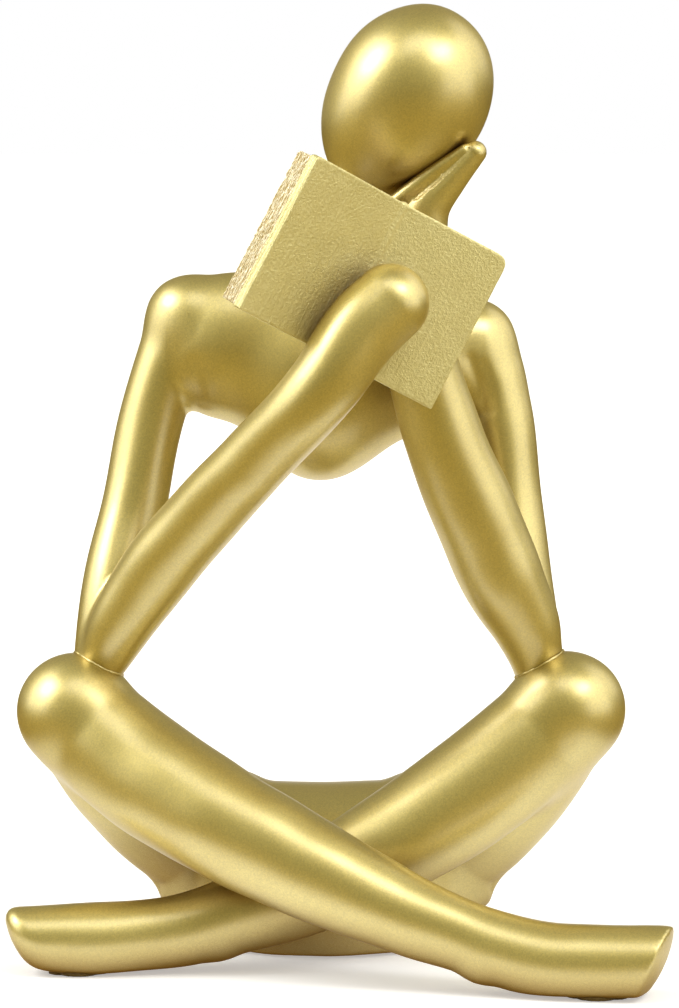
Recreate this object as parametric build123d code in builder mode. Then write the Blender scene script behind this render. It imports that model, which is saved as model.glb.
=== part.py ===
"""A gold seated figure that reads a book, cast in resin as separate pieces.

The figure sits cross-legged. The legs and the pelvis make the lower ring, the
chest and the two arms make the arch above it, and the arch stands on the knees
by its elbows. The chest ends in a rounded tip that never reaches the pelvis.

+X is the viewer's right, +Y goes back and +Z goes up, so the figure's own right
side is on the viewer's left. Every size is in millimetres.
"""

import os
from math import cos, radians, sin

from build123d import *

# The seat, the knees and the feet
middle_x = -1.2  # the figure's own middle, beside the middle of the whole piece
knee_spread = 63.9
knee_middle_x = -1.75
knee_height = 33.2
knee_y = -2.0
knee_stagger = 2.0  # how far the right knee is in front of the left one
leg_radius = 7.4
toe_spread = 83.0
toe_middle_x = -0.15
toe_height = 4.6
right_toe_y = -26.4
left_toe_y = -10.4
toe_slant = 24.0  # degrees, how far the end of each foot is cut back below
toe_bevel = 0.7

# The pelvis, a squat saddle between the two hip joints
pelvis_y = 14.7
pelvis_top = 20.9
pelvis_centre_height = 5.4
pelvis_half_depth = 16.4
hip_spread = 27.6
hip_half_depth = 11.4
hip_centre_height = 7.4
hip_top = 22.1
hip_overrun = 2.0  # how far a thigh runs past its hip face before it is cut flat

# The chest, the shoulders and the neck
shoulder_spread = 37.4
shoulder_middle_x = -0.6
shoulder_height = 83.6  # of the right one; all that is above the elbows goes up with it
left_shoulder_drop = 3.0
shoulder_y = 9.0
shoulder_radius = 5.2
yoke_spread = 36.0  # between the two faces where the arms meet the chest
yoke_sink = 4.6  # how far the yoke's middle is below the right shoulder
yoke_drop = 2.8  # how much lower the yoke's left end is than its right end
yoke_half_height = 10.9
yoke_half_depth = 8.2
yoke_y = 8.0
waist_x = -1.7
waist_drop = 5.6  # from the yoke's middle to the widest part of the rib cage
waist_radius = 9.3
waist_length = 11.2  # from the middle of the rib cage down to its blunt tip
neck_radius = 4.5

# The arms
upper_arm_radius = 4.4
forearm_radius = 4.8
left_forearm_radius = 5.5
right_elbow_inset = 3.8  # from the top of the knee towards the middle
left_elbow_inset = 5.3
elbow_back = 1.8
elbow_rise = 6.6
elbow_overrun = 1.6  # how far an arm runs past its seat before it is cut flat
seat_sink = 0.55  # how deep the flat on a knee is
palm_x = 7.0
palm_y = -22.0
palm_rise = 4.0  # above the right shoulder, as the three rises below
palm_radius = 4.9
wrist_x = 10.2
wrist_y = -8.0
wrist_rise = 2.4
fingertip_x = 17.8
fingertip_y = -10.2
fingertip_rise = 22.4
fingertip_radius = 1.45

# The head, an egg that leans to the viewer's right and a little forwards
head_x = 9.6
head_y = -5.0
head_rise = 29.5
head_breadth = 20.4
crown_length = 12.2  # from the egg's widest section up to its top
chin_length = 14.4
head_lean = 30.0  # degrees
head_nod = 11.0  # degrees
neck_seat_drop = 11.2  # from the middle of the egg down to the flat on the neck

# The book, two boards that open a little too far, with a block of pages on each
crease_inset = 3.0  # from the palm's middle to the crease: across, back and up
crease_back = 3.5
crease_rise = 2.7
book_roll = 27.6  # degrees, the spine's lean to the viewer's right
book_pitch = 4.0  # degrees, the spine's top leans back
book_height = 21.4
board_width = 15.2
board_thickness = 1.7
page_thickness = 3.4
left_board_turn = 34.0  # degrees towards the viewer
right_board_turn = 10.0  # degrees away from the viewer
gutter = 0.7
page_inset = 0.25
top_corner_radius = 1.5
board_corner_radius = 0.4

# Steel pins in the glued joints, and felt pads under the seat and the feet
pin_radius = 1.0
pin_clearance = 0.05
pin_end_gap = 0.3
neck_pin_length = 9.0
shoulder_pin_length = 8.0
elbow_pin_length = 8.0
hip_pin_radius = 1.5
hip_pin_length = 14.0
book_pin_length = 6.4
shin_pin_length = 7.0
pad_proud = 0.3
pad_recess = 0.5
seat_pad_length = 18.0
seat_pad_width = 14.0
foot_pad_length = 8.0
foot_pad_width = 3.0
right_pad_share = 0.45  # of the way from the ball of the foot to its end
left_pad_share = 0.15
pad_clearance = 0.05

# Shares of the way across, forwards and down, and of the limb's radius
right_shin_shares = (
    (0.000, 0.000, 0.000, 0.900),
    (0.083, 0.127, 0.185, 1.030),
    (0.255, 0.430, 0.446, 0.985),
    (0.394, 0.590, 0.620, 0.895),
    (0.562, 0.730, 0.812, 0.710),
    (0.686, 0.826, 0.925, 0.620),
    (0.800, 0.900, 1.000, 0.665),
    (1.000, 1.000, 1.000, 0.640),
)
left_shin_shares = (
    (0.000, 0.000, 0.000, 0.900),
    (0.111, 0.125, 0.249, 1.000),
    (0.303, 0.360, 0.579, 0.930),
    (0.430, 0.500, 0.754, 0.845),
    (0.576, 0.640, 0.891, 0.720),
    (0.700, 0.765, 0.975, 0.635),
    (0.860, 0.895, 1.010, 0.660),
    (1.000, 1.000, 1.000, 0.560),
)
thigh_shares = (
    (0.000, 0.000, 0.000, 0.840),
    (0.230, 0.300, 0.280, 0.980),
    (0.500, 0.640, 0.550, 1.010),
)
right_upper_arm_shares = (
    (0.000, 0.000, 0.000, 1.120),
    (0.330, 0.120, 0.215, 0.980),
    (0.600, 0.400, 0.540, 0.970),
    (0.860, 0.850, 0.830, 0.930),
    (1.000, 1.000, 1.000, 0.660),
)
left_upper_arm_shares = (
    (0.000, 0.000, 0.000, 1.150),
    (0.330, 0.125, 0.200, 1.050),
    (0.520, 0.300, 0.480, 1.020),
    (0.780, 0.750, 0.800, 0.900),
    (1.000, 1.000, 1.000, 0.680),
)
right_forearm_shares = (
    (0.000, 0.000, 0.000, 0.570),
    (0.082, 0.110, 0.129, 0.840),
    (0.189, 0.230, 0.262, 0.980),
    (0.338, 0.430, 0.407, 0.990),
    (0.548, 0.780, 0.593, 0.930),
    (0.782, 1.080, 0.798, 0.960),
    (0.920, 1.030, 0.945, 1.040),
    (1.000, 1.000, 1.000, 1.010),
)
left_forearm_shares = (
    (0.000, 0.000, 0.000, 0.520),
    (0.133, 0.180, 0.149, 0.810),
    (0.310, 0.340, 0.270, 0.980),
    (0.460, 0.480, 0.395, 1.010),
    (0.785, 0.770, 0.670, 0.930),
    (1.000, 1.000, 1.000, 0.760),
)
left_hand_shares = (
    (0.060, 0.200, 0.370, 0.690),
    (0.220, 0.460, 0.660, 0.540),
    (0.550, 0.720, 0.820, 0.420),
    (1.000, 1.000, 1.000, 0.264),
)
round_share = 0.5523  # the handle that makes a Bezier curve follow a quarter ellipse
# Shares of the yoke's half width, half height and half depth
yoke_shares = (
    (-1.00, 0.80, 0.66),
    (-0.50, 0.94, 0.90),
    (0.00, 1.00, 1.00),
    (0.50, 0.94, 0.90),
    (1.00, 0.78, 0.66),
)
# Shares of the neck's reach and radius
neck_shares = (
    (0.00, 1.50),
    (0.35, 1.08),
    (0.70, 0.96),
    (1.00, 1.00),
)


def limb(start, end, girth, shares):
    """Places round sections between two joints of the body."""
    reach = end - start
    return [
        (start + Vector(reach.X * across, reach.Y * deep, reach.Z * up), girth * thick)
        for across, deep, up, thick in shares
    ]


def square_to(centres, index, turn=0):
    """The plane square to a limb's centre line at one of its sections."""
    before = centres[max(index - 1, 0)]
    after = centres[min(index + 1, len(centres) - 1)]
    run = (after - before).rotate(Axis.Y, turn)
    return Plane(origin=centres[index], x_dir=Vector(0, 1, 0).cross(run), z_dir=run)


def round_sections(places, end_turn=0):
    """Draws a limb's round sections, ready to be lofted."""
    centres = [centre for centre, radius in places]
    sections = []
    for index, (centre, radius) in enumerate(places):
        turn = end_turn if index == len(places) - 1 else 0
        with BuildSketch(square_to(centres, index, turn)) as section:
            Circle(radius)
        sections.append(section.sketch)
    return sections


def drill(plane, radius, depth):
    """Cuts the pin's hole to both sides of a joint's plane in the open part."""
    with BuildSketch(plane) as hole:
        Circle(radius + pin_clearance)
    extrude(hole.sketch, amount=depth + pin_end_gap, both=True, mode=Mode.SUBTRACT)


def turned(degrees_round):
    """The unit vector at an angle in the book's own cross-section."""
    return Vector(cos(radians(degrees_round)), sin(radians(degrees_round)))


# Where the joints of the body are
right_knee = Vector(knee_middle_x - knee_spread / 2, knee_y - knee_stagger / 2, knee_height)
left_knee = Vector(knee_middle_x + knee_spread / 2, knee_y + knee_stagger / 2, knee_height)
right_toe = Vector(toe_middle_x + toe_spread / 2, right_toe_y, toe_height)
left_toe = Vector(toe_middle_x - toe_spread / 2, left_toe_y, toe_height)
right_hip = Vector(middle_x - hip_spread / 2, pelvis_y, hip_centre_height)
left_hip = Vector(middle_x + hip_spread / 2, pelvis_y, hip_centre_height)
right_shoulder = Vector(shoulder_middle_x - shoulder_spread / 2, shoulder_y, shoulder_height)
left_shoulder = Vector(
    shoulder_middle_x + shoulder_spread / 2, shoulder_y, shoulder_height - left_shoulder_drop
)
right_elbow = right_knee + Vector(right_elbow_inset, elbow_back, elbow_rise)
left_elbow = left_knee + Vector(-left_elbow_inset, elbow_back, elbow_rise)
palm = Vector(palm_x, palm_y, shoulder_height + palm_rise)
wrist = Vector(wrist_x, wrist_y, shoulder_height + wrist_rise)
fingertip = Vector(fingertip_x, fingertip_y, shoulder_height + fingertip_rise)
head_middle = Vector(head_x, head_y, shoulder_height + head_rise)
ground = Plane.XY.offset(pad_proud)

# The flat on each knee that an elbow stands on
right_rise = (right_elbow - right_knee).normalized()
left_rise = (left_elbow - left_knee).normalized()
right_elbow_seat = Plane(origin=right_knee + right_rise * (leg_radius - seat_sink), z_dir=right_rise)
left_elbow_seat = Plane(origin=left_knee + left_rise * (leg_radius - seat_sink), z_dir=left_rise)

# The hip faces and the shoulder faces stand square to the X axis
right_hip_face = Plane(origin=right_hip, x_dir=(0, 0, -1), z_dir=(1, 0, 0))
left_hip_face = Plane(origin=left_hip, x_dir=(0, 0, 1), z_dir=(-1, 0, 0))
right_shoulder_face = Plane(
    origin=(middle_x - yoke_spread / 2, shoulder_y, right_shoulder.Z), z_dir=(-1, 0, 0)
)
left_shoulder_face = Plane(
    origin=(middle_x + yoke_spread / 2, shoulder_y, left_shoulder.Z), z_dir=(1, 0, 0)
)

# The shins, and the place where the right one crosses in front of the left one
right_shin = limb(right_knee, right_toe, leg_radius, right_shin_shares)
left_shin = limb(left_knee, left_toe, leg_radius, left_shin_shares)
front_middle, front_radius = right_shin[3]
rear_middle, rear_radius = left_shin[3]
front_run = (right_shin[4][0] - right_shin[2][0]).normalized()
rear_run = (left_shin[4][0] - left_shin[2][0]).normalized()
crossing_line = front_run.cross(rear_run).normalized()
apart = rear_middle - front_middle
run_to_crossing = apart.cross(rear_run).dot(front_run.cross(rear_run))
run_to_crossing /= front_run.cross(rear_run).length ** 2
crossing_share = front_radius / (front_radius + rear_radius)
crossing_seat = Plane(
    origin=front_middle
    + front_run * run_to_crossing
    + crossing_line * (apart.dot(crossing_line) * crossing_share),
    z_dir=crossing_line,
)

# The egg's own axis, and the neck's
crown_line = Vector(
    sin(radians(head_lean)) * cos(radians(head_nod)),
    -sin(radians(head_nod)),
    cos(radians(head_lean)) * cos(radians(head_nod)),
)
neck_root = Vector(middle_x, yoke_y, shoulder_height - yoke_sink)
neck_line = (head_middle - neck_root).normalized()
neck_seat = Plane(origin=head_middle - neck_line * neck_seat_drop, z_dir=neck_line)

# The book's cross-section: its own X is along the boards, its own Y to the reader
spine_line = Vector(
    sin(radians(book_roll)) * cos(radians(book_pitch)),
    sin(radians(book_pitch)),
    cos(radians(book_roll)) * cos(radians(book_pitch)),
)
across_line = Vector(cos(radians(book_roll)), 0, -sin(radians(book_roll)))
book_plane = Plane(
    origin=palm + Vector(-crease_inset, crease_back, crease_rise),
    x_dir=across_line,
    z_dir=spine_line,
)
left_way = turned(180 + left_board_turn)
right_way = turned(right_board_turn)
left_square = turned(90 + left_board_turn)
right_square = turned(90 + right_board_turn)
inner_crease = (left_square + right_square).normalized() * (
    board_thickness / cos(radians((left_board_turn - right_board_turn) / 2))
)

# The place on the right board that the palm is glued to, and the book's rounded corner
board_out = book_plane.from_local_coords(right_square) - book_plane.origin
palm_rise = (palm - book_plane.origin).dot(board_out)
book_seat = Plane(origin=palm - board_out * palm_rise, z_dir=board_out)
rounded_corner = book_plane.from_local_coords(
    right_way * board_width + right_square * board_thickness / 2 + Vector(0, 0, book_height / 2)
)

# The head, a turned egg with a flat for the neck
with BuildPart() as head:
    egg_side = Vector(0, 1, 0).cross(crown_line).normalized()
    with BuildSketch(
        Plane(origin=head_middle, x_dir=egg_side, z_dir=egg_side.cross(crown_line))
    ):
        with BuildLine():
            Bezier(
                (0, -chin_length),
                (head_breadth / 2 * round_share, -chin_length),
                (head_breadth / 2, -chin_length * round_share),
                (head_breadth / 2, 0),
            )
            Bezier(
                (head_breadth / 2, 0),
                (head_breadth / 2, crown_length * round_share),
                (head_breadth / 2 * round_share, crown_length),
                (0, crown_length),
            )
            Line((0, -chin_length), (0, crown_length))
        make_face()
    revolve(axis=Axis(head_middle, crown_line))
    split(bisect_by=neck_seat, keep=Keep.TOP)
    drill(neck_seat, pin_radius, neck_pin_length / 2)
head.part.label = "head"

# The chest: the yoke between the shoulders, the rib cage's blunt tip and the neck
with BuildPart() as chest:
    for across, high, deep in yoke_shares:
        yoke_middle = neck_root + Vector(across * yoke_spread / 2, 0, -across * yoke_drop / 2)
        with BuildSketch(Plane(origin=yoke_middle, x_dir=(0, 0, -1), z_dir=(1, 0, 0))):
            Ellipse(yoke_half_height * high, yoke_half_depth * deep)
    loft()
    waist_middle = Vector(waist_x, yoke_y, neck_root.Z - waist_drop)
    with BuildSketch(Plane(origin=waist_middle, x_dir=(1, 0, 0), z_dir=(0, -1, 0))):
        with BuildLine():
            EllipticalCenterArc((0, 0), waist_radius, waist_length, -90, arc_size=180)
            Line((0, -waist_length), (0, waist_length))
        make_face()
    revolve(axis=Axis(waist_middle, (0, 0, 1)))
    neck_reach = neck_seat.origin - neck_root
    neck_sections = [
        (neck_root + neck_reach * share, neck_radius * thick) for share, thick in neck_shares
    ]
    loft(round_sections(neck_sections))
    drill(neck_seat, pin_radius, neck_pin_length / 2)
    drill(right_shoulder_face, pin_radius, shoulder_pin_length / 2)
    drill(left_shoulder_face, pin_radius, shoulder_pin_length / 2)
chest.part.label = "chest"


def cast_thigh(knee, hip_face):
    """Builds one thigh in the open part, from the knee to its flat face at the hip."""
    thigh = limb(knee, hip_face.origin, leg_radius, thigh_shares)
    with BuildSketch(hip_face.offset(hip_overrun)) as hip_end:
        Ellipse(hip_top - hip_centre_height, hip_half_depth)
    loft(round_sections(thigh) + [hip_end.sketch])
    split(bisect_by=hip_face, keep=Keep.BOTTOM)
    drill(hip_face, hip_pin_radius, hip_pin_length / 2)


def bevel_toe(shin, toe_turn):
    """Adds the narrow bevelled rim at the end of a foot to the open part."""
    radius = shin[-1][1]
    end = square_to([centre for centre, radius in shin], len(shin) - 1, toe_turn)
    with BuildSketch(end) as wide:
        Circle(radius)
    with BuildSketch(end.offset(toe_bevel / 2)) as narrow:
        Circle(radius - toe_bevel)
    loft([wide.sketch, narrow.sketch], ruled=True)


def cast_leg(knee, shin, thigh, toe_turn, elbow_seat):
    """Builds one leg in the open part: the shin and foot, the knee and the thigh."""
    loft(round_sections(shin, toe_turn))
    bevel_toe(shin, toe_turn)
    with Locations(knee):
        Sphere(leg_radius)
    add(thigh.part)
    split(bisect_by=ground, keep=Keep.TOP)
    with BuildSketch(elbow_seat) as flat:
        Circle(leg_radius)
    extrude(flat.sketch, amount=leg_radius, mode=Mode.SUBTRACT)
    drill(elbow_seat, pin_radius, elbow_pin_length / 2)


def foot_pad_plane(shin, share):
    """The plane on the floor under a foot, turned along the foot."""
    along = shin[-1][0] - shin[-2][0]
    middle = shin[-2][0] + along * share
    return Plane(origin=(middle.X, middle.Y, 0), x_dir=(along.X, along.Y, 0), z_dir=(0, 0, 1))


def recess_foot(pad_plane):
    """Cuts the pad's recess under a foot in the open part."""
    with BuildSketch(pad_plane.offset(pad_proud)) as recess:
        SlotOverall(foot_pad_length + 2 * pad_clearance, foot_pad_width + 2 * pad_clearance)
    extrude(recess.sketch, amount=pad_recess, mode=Mode.SUBTRACT)


# The right leg, whose shin crosses in front
with BuildPart() as right_thigh:
    cast_thigh(right_knee, right_hip_face)

with BuildPart() as right_leg:
    cast_leg(right_knee, right_shin, right_thigh, toe_slant, right_elbow_seat)
    with BuildSketch(crossing_seat):
        Circle(front_radius)
    extrude(amount=front_radius / 2, mode=Mode.SUBTRACT)
    drill(crossing_seat, pin_radius, shin_pin_length / 2)
    recess_foot(foot_pad_plane(right_shin, right_pad_share))
right_leg.part.label = "right_leg"

# The left leg, which passes behind the right shin
with BuildPart() as left_thigh:
    cast_thigh(left_knee, left_hip_face)

with BuildPart() as left_leg:
    cast_leg(left_knee, left_shin, left_thigh, -toe_slant, left_elbow_seat)
    with BuildSketch(crossing_seat):
        Circle(rear_radius)
    extrude(amount=-rear_radius / 2, mode=Mode.SUBTRACT)
    drill(crossing_seat, pin_radius, shin_pin_length / 2)
    recess_foot(foot_pad_plane(left_shin, left_pad_share))
left_leg.part.label = "left_leg"

# The pelvis, a saddle whose two ends are the hip faces; the left shin leans on it
with BuildPart() as pelvis:
    pelvis_sections = (
        (right_hip, hip_top - hip_centre_height, hip_half_depth),
        (
            Vector(middle_x, pelvis_y, pelvis_centre_height),
            pelvis_top - pelvis_centre_height,
            pelvis_half_depth,
        ),
        (left_hip, hip_top - hip_centre_height, hip_half_depth),
    )
    for middle, half_height, half_depth in pelvis_sections:
        with BuildSketch(Plane(origin=middle, x_dir=(0, 0, -1), z_dir=(1, 0, 0))):
            Ellipse(half_height, half_depth)
    loft()
    split(bisect_by=ground, keep=Keep.TOP)
    drill(right_hip_face, hip_pin_radius, hip_pin_length / 2)
    drill(left_hip_face, hip_pin_radius, hip_pin_length / 2)
    with BuildSketch(ground):
        with Locations((middle_x, pelvis_y)):
            Ellipse(seat_pad_length / 2 + pad_clearance, seat_pad_width / 2 + pad_clearance)
    extrude(amount=pad_recess, mode=Mode.SUBTRACT)
    add(left_leg.part, mode=Mode.SUBTRACT)
pelvis.part.label = "pelvis"

# The book's cover: two boards and the spine between them, bent in one piece
with BuildPart() as book_cover:
    with BuildSketch(book_plane):
        with BuildLine():
            Polyline(
                (0, 0),
                left_way * board_width,
                left_way * board_width + left_square * board_thickness,
                inner_crease,
                right_way * board_width + right_square * board_thickness,
                right_way * board_width,
                close=True,
            )
        make_face()
    extrude(amount=book_height / 2, both=True)
    corners = edges().group_by(SortBy.LENGTH)[0].sort_by_distance(rounded_corner)
    fillet(corners[1:], board_corner_radius)
    fillet(edges().sort_by_distance(rounded_corner)[0], top_corner_radius)
    drill(book_seat, pin_radius, book_pin_length / 2)
book_cover.part.label = "book_cover"


def page_block(way, square):
    """Builds the pages that lie on one board, in the open part."""
    near = way * gutter + square * board_thickness
    far = way * (board_width - page_inset) + square * board_thickness
    with BuildSketch(book_plane) as profile:
        with BuildLine():
            Polyline(
                near,
                far,
                far + square * page_thickness,
                near + square * page_thickness,
                close=True,
            )
        make_face()
    extrude(profile.sketch, amount=book_height / 2 - page_inset, both=True)


with BuildPart() as left_pages:
    page_block(left_way, left_square)
left_pages.part.label = "left_pages"

with BuildPart() as right_pages:
    page_block(right_way, right_square)
    corners = edges().group_by(SortBy.LENGTH)[0].sort_by_distance(rounded_corner)
    fillet(corners[0], top_corner_radius - page_inset)
    drill(book_seat, pin_radius, book_pin_length / 2)
right_pages.part.label = "right_pages"

# The right arm: the forearm crosses over to the front of the book
with BuildPart() as right_arm:
    upper_end = right_elbow_seat.origin - right_rise * elbow_overrun
    upper_arm = limb(right_shoulder, upper_end, upper_arm_radius, right_upper_arm_shares)
    loft(round_sections(upper_arm))
    with Locations(right_shoulder):
        Sphere(shoulder_radius)
    split(bisect_by=right_shoulder_face, keep=Keep.TOP)
    drill(right_shoulder_face, pin_radius, shoulder_pin_length / 2)
    loft(round_sections(limb(upper_end, palm, forearm_radius, right_forearm_shares)))
    with Locations(palm):
        Sphere(palm_radius)
    split(bisect_by=right_elbow_seat, keep=Keep.TOP)
    drill(right_elbow_seat, pin_radius, elbow_pin_length / 2)
    add(book_cover.part, mode=Mode.SUBTRACT)
    drill(book_seat, pin_radius, book_pin_length / 2)
right_arm.part.label = "right_arm"

# The left arm: the forearm passes behind the book and the hand holds the cheek
with BuildPart() as left_arm:
    upper_end = left_elbow_seat.origin - left_rise * elbow_overrun
    upper_arm = limb(left_shoulder, upper_end, upper_arm_radius, left_upper_arm_shares)
    loft(round_sections(upper_arm))
    with Locations(left_shoulder):
        Sphere(shoulder_radius)
    split(bisect_by=left_shoulder_face, keep=Keep.TOP)
    drill(left_shoulder_face, pin_radius, shoulder_pin_length / 2)
    forearm = limb(upper_end, wrist, left_forearm_radius, left_forearm_shares)
    hand = limb(wrist, fingertip, left_forearm_radius, left_hand_shares)
    loft(round_sections(forearm + hand))
    with Locations(fingertip):
        Sphere(fingertip_radius)
    split(bisect_by=left_elbow_seat, keep=Keep.TOP)
    drill(left_elbow_seat, pin_radius, elbow_pin_length / 2)
    add(right_pages.part, mode=Mode.SUBTRACT)
    add(head.part, mode=Mode.SUBTRACT)
left_arm.part.label = "left_arm"

castings = [head, chest, pelvis, right_leg, left_leg, right_arm, left_arm]
castings += [book_cover, left_pages, right_pages]


def make_pin(plane, radius, length):
    """Builds one pin, square to a joint's plane, in the open part."""
    with BuildSketch(plane) as end:
        Circle(radius)
    extrude(end.sketch, amount=length / 2, both=True)


def make_foot_pad(pad_plane):
    """Builds the felt pad under one foot, in the open part."""
    with BuildSketch(pad_plane) as outline:
        SlotOverall(foot_pad_length, foot_pad_width)
    extrude(outline.sketch, amount=pad_proud + pad_recess)


pins = {
    "neck_pin": (neck_seat, pin_radius, neck_pin_length),
    "right_shoulder_pin": (right_shoulder_face, pin_radius, shoulder_pin_length),
    "left_shoulder_pin": (left_shoulder_face, pin_radius, shoulder_pin_length),
    "right_elbow_pin": (right_elbow_seat, pin_radius, elbow_pin_length),
    "left_elbow_pin": (left_elbow_seat, pin_radius, elbow_pin_length),
    "right_hip_pin": (right_hip_face, hip_pin_radius, hip_pin_length),
    "left_hip_pin": (left_hip_face, hip_pin_radius, hip_pin_length),
    "shin_pin": (crossing_seat, pin_radius, shin_pin_length),
    "book_pin": (book_seat, pin_radius, book_pin_length),
}
for pin_name, (plane, radius, length) in pins.items():
    with BuildPart() as pin:
        make_pin(plane, radius, length)
    pin.part.label = pin_name
    castings.append(pin)

with BuildPart() as seat_pad:
    with BuildSketch(Plane.XY):
        with Locations((middle_x, pelvis_y)):
            Ellipse(seat_pad_length / 2, seat_pad_width / 2)
    extrude(amount=pad_proud + pad_recess)
seat_pad.part.label = "seat_pad"
castings.append(seat_pad)

foot_pads = {
    "right_foot_pad": foot_pad_plane(right_shin, right_pad_share),
    "left_foot_pad": foot_pad_plane(left_shin, left_pad_share),
}
for pad_name, pad_plane in foot_pads.items():
    with BuildPart() as pad:
        make_foot_pad(pad_plane)
    pad.part.label = pad_name
    castings.append(pad)

os.makedirs("parts", exist_ok=True)
for piece in castings:
    export_step(piece.part, f"parts/{piece.part.label}.step")
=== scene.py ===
"""The looks of a gold seated figure that reads a book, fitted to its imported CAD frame.

The figure is cast in resin as separate pieces, sprayed with a satin gold paint and
glued together on steel pins. Each casting is worked out here as a field, the distance
in millimetres from its skin, so that neighbours flow into each other as they do on the
real one and still end exactly on the flat faces where they are joined.

+X is the viewer's right, +Y goes back and +Z goes up.
"""

import logging
from dataclasses import dataclass
from enum import Enum
from functools import cached_property
from math import cos, pi, radians, sin
from typing import Callable

import bpy
import numpy as np
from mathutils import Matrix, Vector


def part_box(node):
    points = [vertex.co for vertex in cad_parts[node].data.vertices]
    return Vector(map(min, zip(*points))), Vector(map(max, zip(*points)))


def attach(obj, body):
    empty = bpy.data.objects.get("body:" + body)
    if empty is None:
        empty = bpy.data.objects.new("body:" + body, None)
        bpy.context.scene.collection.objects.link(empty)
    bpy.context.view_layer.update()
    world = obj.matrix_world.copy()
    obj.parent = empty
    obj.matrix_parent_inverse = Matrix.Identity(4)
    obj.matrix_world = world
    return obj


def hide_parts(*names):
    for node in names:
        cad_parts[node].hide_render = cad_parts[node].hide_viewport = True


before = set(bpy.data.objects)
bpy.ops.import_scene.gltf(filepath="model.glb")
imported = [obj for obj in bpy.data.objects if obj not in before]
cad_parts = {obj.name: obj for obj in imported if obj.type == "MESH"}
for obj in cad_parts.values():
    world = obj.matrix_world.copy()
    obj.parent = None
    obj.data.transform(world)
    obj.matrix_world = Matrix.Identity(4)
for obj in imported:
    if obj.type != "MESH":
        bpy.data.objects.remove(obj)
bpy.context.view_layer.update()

Field = Callable[[np.ndarray], np.ndarray]
Triple = tuple[float, float, float]
Pair = tuple[float, float]
Rows = tuple[tuple[float, ...], ...]
Socket = bpy.types.NodeSocket
Colour = tuple[float, float, float, float]

MM = 0.001
WHITE = (1.0, 1.0, 1.0, 1.0)
log = logging.getLogger("figure")


class Slot(Enum):
    """Material slot names that a casting stores; this script does not read them."""

    BODY = "body_gold"
    COVER = "cover_gold"
    PAGES = "page_gold"
    PADS = "pad_felt"


# ---------------------------------------------------------------- fields


def unit(vector: np.ndarray | Triple) -> np.ndarray:
    """Returns the vector at length one."""
    vector = np.asarray(vector, float)
    return vector / np.linalg.norm(vector)


def units(rows: np.ndarray) -> np.ndarray:
    """Returns each row at length one."""
    return rows / np.maximum(np.linalg.norm(rows, axis=1), 1e-12)[:, None]


def dots(rows: np.ndarray, others: np.ndarray) -> np.ndarray:
    """Returns the dot product of each row with the other one."""
    return np.einsum("ij,ij->i", rows, others)


def oval(parts: list[np.ndarray], sizes: list[np.ndarray | float]) -> np.ndarray:
    """Returns the near distance from the skin of an oval.

    Args:
        parts: how far the points lie from its middle along each of its axes.
        sizes: its half size along each of them.

    Returns:
        The distances, which are true close to the skin.
    """
    near = np.sqrt(sum((part / size) ** 2 for part, size in zip(parts, sizes)))
    steep = np.sqrt(sum((part / size**2) ** 2 for part, size in zip(parts, sizes)))
    return near * (near - 1) / np.maximum(steep, 1e-6)


@dataclass(frozen=True)
class Face:
    """A flat face; the field is positive past it, on the side of its normal."""

    origin: Triple
    normal: Triple

    def __call__(self, points: np.ndarray) -> np.ndarray:
        """Returns each point's distance past the face."""
        return (points - np.array(self.origin)) @ unit(self.normal)

    def turned(self) -> "Face":
        """Returns the same face seen from the other casting."""
        return Face(self.origin, tuple(-n for n in self.normal))

    def lapped(self, reach: float = 0.3) -> "Face":
        """Returns the face a little further out, so that no gap shows along the joint."""
        return Face(tuple(np.array(self.origin) + unit(self.normal) * reach), self.normal)


@dataclass(frozen=True)
class Ball:
    """A ball, such as a shoulder."""

    centre: Triple
    radius: float

    def __call__(self, points: np.ndarray) -> np.ndarray:
        """Returns each point's distance from the ball's skin."""
        return np.linalg.norm(points - np.array(self.centre), axis=1) - self.radius


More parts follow.
